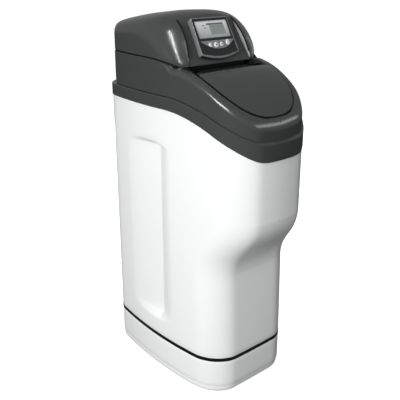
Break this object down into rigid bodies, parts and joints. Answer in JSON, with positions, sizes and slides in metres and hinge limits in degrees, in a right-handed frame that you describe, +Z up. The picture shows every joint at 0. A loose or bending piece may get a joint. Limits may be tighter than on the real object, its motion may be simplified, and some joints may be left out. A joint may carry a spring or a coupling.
{
  "type": "water softener",
  "caption": "Tall cabinet water softener: white moulded cabinet on a base tray, charcoal cover with hinged salt lid, lift-off control hood with display, resin vessel, valve and brine well.",
  "frame": {"origin": "on the floor, at the middle of the cabinet's plan, on the middle foot pad", "axes": "+Z up, the front with the lid faces -Y, the pipe connections face +Y, +X to the right as seen from the front"},
  "size_m": [0.3248, 0.5685, 0.9879],
  "materials": {
    "white_shell": "gloss",
    "black_rubber": "matt",
    "charcoal_cover": "satin",
    "dark_bezel": "gloss",
    "clear_window": "clear",
    "lcd_grey": "satin",
    "keypad_grey": "satin",
    "key_white": "satin",
    "board_green": "satin",
    "bright_steel": "brushed",
    "vessel_wrap": "satin",
    "boot_black": "matt",
    "natural_plastic": "satin",
    "valve_black": "satin",
    "motor_case": "satin",
    "tail_brass": "satin",
    "knob_red": "satin",
    "knob_blue": "satin",
    "line_white": "satin",
    "float_plastic": "satin"
  },
  "bodies": {
    "cabinet": {"plinth": "white_shell", "foot_pads": "black_rubber", "base_tray": "white_shell", "seam_strip": "black_rubber", "cabinet_tub": "white_shell", "overflow_elbow": "valve_black", "overflow_nut": "valve_black", "rim_collar": "charcoal_cover", "top_cover": "charcoal_cover", "hinge_deck": "charcoal_cover", "hinge_rod": "bright_steel", "vessel_boot": "boot_black", "resin_vessel": "vessel_wrap", "riser_tube": "natural_plastic", "lower_strainer": "natural_plastic", "upper_strainer": "natural_plastic", "tank_adaptor": "valve_black", "valve_body": "valve_black", "drive_bracket": "valve_black", "drive_motor": "motor_case", "gear_axle": "bright_steel", "bypass_body": "valve_black", "union_nuts": "valve_black", "inlet_tail": "tail_brass", "outlet_tail": "tail_brass", "drain_tail": "valve_black", "brine_elbow": "valve_black", "brine_line": "line_white", "brine_well": "natural_plastic", "well_cap": "natural_plastic", "brine_valve": "valve_black", "air_check": "natural_plastic"},
    "lid": {"salt_lid": "charcoal_cover", "lid_arms": "charcoal_cover"},
    "hood": {"control_hood": "charcoal_cover", "display_bezel": "dark_bezel", "display_window": "clear_window", "lcd_module": "lcd_grey", "keypad_plate": "keypad_grey", "circuit_board": "board_green", "board_screws": "bright_steel"},
    "menu_key": {"key_menu": "key_white"},
    "set_key": {"key_set": "key_white"},
    "clock_key": {"key_clock": "key_white"},
    "rocker_key": {"key_rocker": "key_white"},
    "float": {"float_assembly": "float_plastic"},
    "inlet_knob": {"bypass_knob_in": "knob_red"},
    "outlet_knob": {"bypass_knob_out": "knob_blue"},
    "gear": {"drive_gear": "natural_plastic"},
    "pinion": {"motor_pinion": "natural_plastic"}
  },
  "joints": [
    {"name": "lid_hinge", "type": "hinge", "parent": "cabinet", "child": "lid", "pos_m": [0, -0.088, 0.85], "axis": [-1, 0, 0], "range_deg": [0, 118]},
    {"name": "hood_lift", "type": "slide", "parent": "cabinet", "child": "hood", "axis": [0, 0, 1], "range_m": [0, 0.12]},
    {"name": "menu_press", "type": "slide", "parent": "hood", "child": "menu_key", "axis": [0, 0.866, -0.5], "range_m": [0, 0.001], "stiffness_N_per_m": 400},
    {"name": "set_press", "type": "slide", "parent": "hood", "child": "set_key", "axis": [0, 0.866, -0.5], "range_m": [0, 0.001], "stiffness_N_per_m": 400},
    {"name": "clock_press", "type": "slide", "parent": "hood", "child": "clock_key", "axis": [0, 0.866, -0.5], "range_m": [0, 0.001], "stiffness_N_per_m": 400},
    {"name": "rocker_tilt", "type": "hinge", "parent": "hood", "child": "rocker_key", "pos_m": [0.031, -0.03235, 0.91121], "axis": [1, 0, 0], "range_deg": [-3.5, 3.5], "stiffness_Nm_per_rad": 0.05},
    {"name": "float_rise", "type": "slide", "parent": "cabinet", "child": "float", "axis": [0, 0, 1], "range_m": [0, 0.045]},
    {"name": "inlet_bypass_turn", "type": "hinge", "parent": "cabinet", "child": "inlet_knob", "pos_m": [-0.038, 0.2095, 0.94], "axis": [0, 0, 1], "range_deg": [0, 90]},
    {"name": "outlet_bypass_turn", "type": "hinge", "parent": "cabinet", "child": "outlet_knob", "pos_m": [0.038, 0.2095, 0.94], "axis": [0, 0, 1], "range_deg": [0, 90]},
    {"name": "gear_spin", "type": "hinge", "parent": "cabinet", "child": "gear", "pos_m": [0, 0.04, 0.908], "axis": [0, 1, 0], "continuous": true},
    {"name": "pinion_spin", "type": "hinge", "parent": "cabinet", "child": "pinion", "pos_m": [-0.052, 0.04, 0.908], "axis": [0, 1, 0], "continuous": true}
  ],
  "couplings": [
    {"joint": "pinion_spin", "follows": "gear_spin", "ratio": -2.25}
  ]
}
